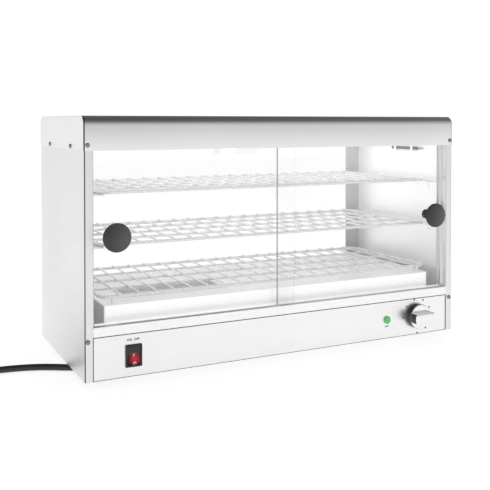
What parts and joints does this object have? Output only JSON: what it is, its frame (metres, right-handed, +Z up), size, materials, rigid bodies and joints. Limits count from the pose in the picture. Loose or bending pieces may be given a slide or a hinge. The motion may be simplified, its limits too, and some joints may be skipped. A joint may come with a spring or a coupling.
{
  "type": "hot food display case",
  "caption": "Countertop heated display case with sliding glass doors, wire shelves, a steel hood, a rocker switch, a pilot lamp and a thermostat knob.",
  "frame": {"origin": "on the counter, under the middle of the case with its knob and screws, without the mains lead", "axes": "+X to the right along the front, +Y to the back, +Z up"},
  "size_m": [0.905, 0.4463, 0.391],
  "materials": {
    "hood_steel": "fine brushed, satin",
    "panel_steel": "fine brushed, satin",
    "front_steel": "fine brushed, satin",
    "bright_steel": "bright annealed, near mirror",
    "track_aluminium": "satin",
    "door_glass": "clear toughened, polished edges",
    "rear_pane_glass": "clear toughened",
    "shelf_wire": "bright plated wire",
    "tray_steel": "satin pressed",
    "element_sheath": "dark oxide",
    "bracket_steel": "satin",
    "black_pull": "moulded, satin",
    "fixing_steel": "bright",
    "nylon": "natural nylon",
    "switch_black": "moulded, gloss",
    "rocker_red": "translucent dark red",
    "pilot_green": "translucent green",
    "shaft_steel": "turned",
    "knob_chrome": "bright plated plastic",
    "copper": "drawn copper",
    "lamp_ceramic": "glazed porcelain",
    "lamp_glass": "clear",
    "wire_insulation": "silicone sleeving",
    "foot_rubber": "moulded",
    "cord_black": "flexible sheath, satin",
    "plug_brass": "bright"
  },
  "bodies": {
    "case": {"top_hood": "hood_steel", "left_side_panel": "panel_steel", "right_side_panel": "panel_steel", "base_rear_panel": "panel_steel", "bottom_plate": "panel_steel", "base_front_panel": "front_steel", "lower_door_track": "front_steel", "left_liner": "bright_steel", "right_liner": "bright_steel", "heater_deck": "bright_steel", "ceiling_panel": "bright_steel", "cabinet_floor": "bright_steel", "rear_frame": "bright_steel", "shelf_support_top_left": "bright_steel", "shelf_support_top_right": "bright_steel", "shelf_support_middle_left": "bright_steel", "shelf_support_middle_right": "bright_steel", "left_jamb": "track_aluminium", "right_jamb": "track_aluminium", "upper_door_track": "track_aluminium", "rear_retainers": "track_aluminium", "rear_glass": "rear_pane_glass", "water_tray": "tray_steel", "heating_element": "element_sheath", "element_brackets": "bracket_steel", "lamp_bracket": "bracket_steel", "probe_clips": "bracket_steel", "hood_screws": "fixing_steel", "base_screws": "fixing_steel", "foot_screws": "fixing_steel", "thermostat_body": "nylon", "pilot_body": "nylon", "switch_housing": "switch_black", "pilot_lens": "pilot_green", "capillary_tube": "copper", "temperature_probe": "copper", "lamp_holder": "lamp_ceramic", "terminal_block": "lamp_ceramic", "lamp_bulb": "lamp_glass", "internal_wires": "wire_insulation", "feet": "foot_rubber", "strain_relief": "cord_black", "mains_cord": "cord_black", "cord_coil": "cord_black", "plug_body": "cord_black", "plug_pins": "plug_brass"},
    "left_door": {"left_door_glass": "door_glass", "left_door_pull": "black_pull", "left_door_fixing": "fixing_steel", "left_door_glides": "nylon"},
    "right_door": {"right_door_glass": "door_glass", "right_door_pull": "black_pull", "right_door_fixing": "fixing_steel", "right_door_glides": "nylon"},
    "rocker": {"switch_rocker": "rocker_red"},
    "control_knob": {"thermostat_knob": "knob_chrome", "thermostat_shaft": "shaft_steel"},
    "top_shelf": {"wire_shelf_top": "shelf_wire"},
    "middle_shelf": {"wire_shelf_middle": "shelf_wire"},
    "bottom_shelf": {"wire_shelf_bottom": "shelf_wire"}
  },
  "joints": [
    {"name": "left_door_slide", "type": "slide", "parent": "case", "child": "left_door", "axis": [1, 0, 0], "range_m": [0, 0.26]},
    {"name": "right_door_slide", "type": "slide", "parent": "case", "child": "right_door", "axis": [1, 0, 0], "range_m": [-0.26, 0]},
    {"name": "power_rocker_tilt", "type": "hinge", "parent": "case", "child": "rocker", "pos_m": [-0.25735, -0.126, 0.0449], "axis": [1, 0, 0], "range_deg": [0, 20]},
    {"name": "thermostat_knob_turn", "type": "hinge", "parent": "case", "child": "control_knob", "pos_m": [0.255, -0.14, 0.0462], "axis": [0, 1, 0], "range_deg": [0, 270]},
    {"name": "top_shelf_lift", "type": "slide", "parent": "case", "child": "top_shelf", "axis": [0, 0, 1], "range_m": [0, 0.03]},
    {"name": "middle_shelf_lift", "type": "slide", "parent": "case", "child": "middle_shelf", "axis": [0, 0, 1], "range_m": [0, 0.03]},
    {"name": "bottom_shelf_lift", "type": "slide", "parent": "case", "child": "bottom_shelf", "axis": [0, 0, 1], "range_m": [0, 0.03]}
  ]
}
